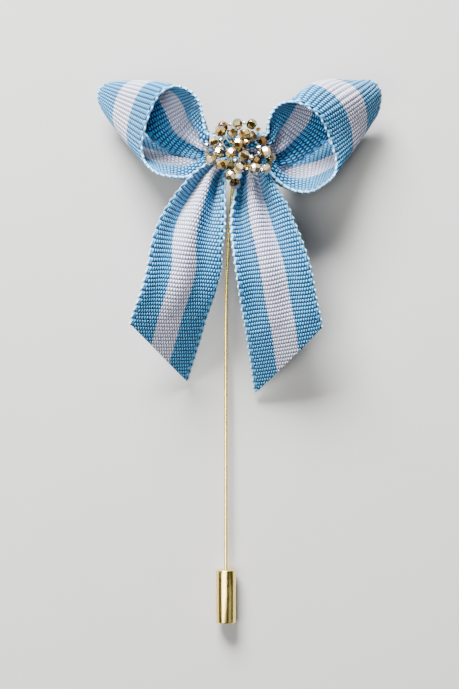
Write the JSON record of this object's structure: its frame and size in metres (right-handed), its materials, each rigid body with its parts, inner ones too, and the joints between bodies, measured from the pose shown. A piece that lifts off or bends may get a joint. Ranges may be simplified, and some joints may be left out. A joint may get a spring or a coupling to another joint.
{
  "type": "cockade brooch",
  "caption": "Striped ribbon bow brooch with two loops, two slanting tails and a faceted bead cluster, on a long stick pin capped by a barrel clutch.",
  "frame": {"origin": "middle of the bounding box on its underside, the surface that the brooch lies on", "axes": "+X to the viewer's right, +Y from the clutch along the pin to the bow, +Z out of the bow's front"},
  "size_m": [0.0561, 0.1067, 0.019],
  "materials": {
    "ribbon": "grosgrain weave, light blue with a white stripe down the middle",
    "bead": "faceted, clear champagne",
    "thread": "matte",
    "pin": "polished gold plate",
    "clutch": "polished gold plate"
  },
  "bodies": {
    "bow_and_pin": {"left_loop": "ribbon", "right_loop": "ribbon", "left_tail": "ribbon", "right_tail": "ribbon", "bead_01": "bead", "bead_02": "bead", "bead_03": "bead", "bead_04": "bead", "bead_05": "bead", "bead_06": "bead", "bead_07": "bead", "bead_08": "bead", "bead_09": "bead", "bead_10": "bead", "bead_11": "bead", "bead_12": "bead", "bead_13": "bead", "bead_14": "bead", "bead_15": "bead", "bead_16": "bead", "bead_17": "bead", "bead_18": "bead", "bead_19": "bead", "bead_20": "bead", "bead_21": "bead", "bead_22": "bead", "bead_23": "bead", "bead_24": "bead", "bead_25": "bead", "bead_thread": "thread", "pin": "pin"},
    "barrel_clutch": {"clutch": "clutch"}
  },
  "joints": [
    {"name": "clutch_slide", "type": "slide", "parent": "bow_and_pin", "child": "barrel_clutch", "axis": [0, -1, 0], "range_m": [0, 0.012]}
  ]
}
